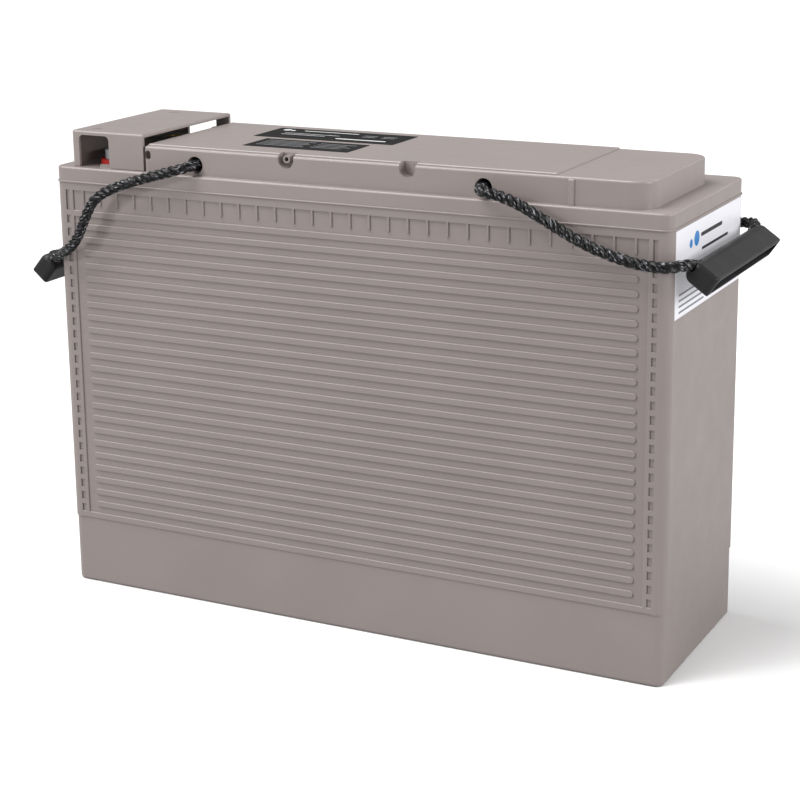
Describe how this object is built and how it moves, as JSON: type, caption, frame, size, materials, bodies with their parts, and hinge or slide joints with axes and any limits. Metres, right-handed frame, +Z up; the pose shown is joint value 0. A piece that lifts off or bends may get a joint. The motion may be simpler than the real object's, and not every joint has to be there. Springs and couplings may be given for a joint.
{
  "type": "deep cycle battery",
  "caption": "Tall narrow front-terminal AGM battery: ribbed grey case, raised lid block with vent recesses, slide-off terminal cover and rope handles with channel grips at both ends.",
  "frame": {"origin": "centre of the container's underside", "axes": "+X along the length, away from the terminals; +Y across the narrow depth, towards the back; +Z up"},
  "size_m": [0.4448, 0.1546, 0.2895],
  "materials": {
    "case_grey": "satin, warm grey ABS",
    "lid_grey": "satin, warm grey ABS",
    "cover_grey": "satin, warm grey ABS",
    "arrestor_white": "porous",
    "lead": "dull cast lead",
    "brass": "turned, tinned brass",
    "seal_red": "matt",
    "seal_black": "matt",
    "rubber_black": "matt",
    "rope_black": "twisted, slightly shiny yarn",
    "grip_black": "satin",
    "splice_black": "heat-shrunk film",
    "label_white": "smooth film",
    "label_black": "smooth film",
    "plate_positive": "lead dioxide paste",
    "plate_negative": "spongy lead paste",
    "glass_mat": "absorbent glass mat"
  },
  "bodies": {
    "battery": {"container": "case_grey", "lid": "lid_grey", "lid_block": "lid_grey", "vent_cover": "lid_grey", "vent_nozzle": "case_grey", "flame_arrestor": "arrestor_white", "return_bar": "lead", "side_label": "label_white", "top_label_main": "label_black", "top_label_small": "label_black", "positive_terminal": "lead", "negative_terminal": "lead", "positive_insert": "brass", "negative_insert": "brass", "positive_seal": "seal_red", "negative_seal": "seal_black", "vent_valve_1": "rubber_black", "vent_valve_2": "rubber_black", "vent_valve_3": "rubber_black", "vent_valve_4": "rubber_black", "vent_valve_5": "rubber_black", "vent_valve_6": "rubber_black", "cell_1_positive_plates": "plate_positive", "cell_1_negative_plates": "plate_negative", "cell_1_separators": "glass_mat", "cell_2_positive_plates": "plate_positive", "cell_2_negative_plates": "plate_negative", "cell_2_separators": "glass_mat", "cell_3_positive_plates": "plate_positive", "cell_3_negative_plates": "plate_negative", "cell_3_separators": "glass_mat", "cell_4_positive_plates": "plate_positive", "cell_4_negative_plates": "plate_negative", "cell_4_separators": "glass_mat", "cell_5_positive_plates": "plate_positive", "cell_5_negative_plates": "plate_negative", "cell_5_separators": "glass_mat", "cell_6_positive_plates": "plate_positive", "cell_6_negative_plates": "plate_negative", "cell_6_separators": "glass_mat", "intercell_connector_1": "lead", "intercell_connector_2": "lead", "intercell_connector_3": "lead", "intercell_connector_4": "lead", "intercell_connector_5": "lead"},
    "left_handle": {"left_rope": "rope_black", "left_grip": "grip_black", "left_splice": "splice_black"},
    "right_handle": {"right_rope": "rope_black", "right_grip": "grip_black", "right_splice": "splice_black"},
    "terminal_cover": {"terminal_cover": "cover_grey"}
  },
  "joints": [
    {"name": "right_handle_swing", "type": "hinge", "parent": "battery", "child": "right_handle", "pos_m": [0.0876, 0, 0.2736], "axis": [0, -1, 0], "range_deg": [0, 123]},
    {"name": "left_handle_swing", "type": "hinge", "parent": "battery", "child": "left_handle", "pos_m": [-0.0986, 0, 0.2736], "axis": [0, 1, 0], "range_deg": [0, 137]},
    {"name": "terminal_cover_slide", "type": "slide", "parent": "battery", "child": "terminal_cover", "axis": [-1, 0, 0], "range_m": [0, 0.06]}
  ]
}
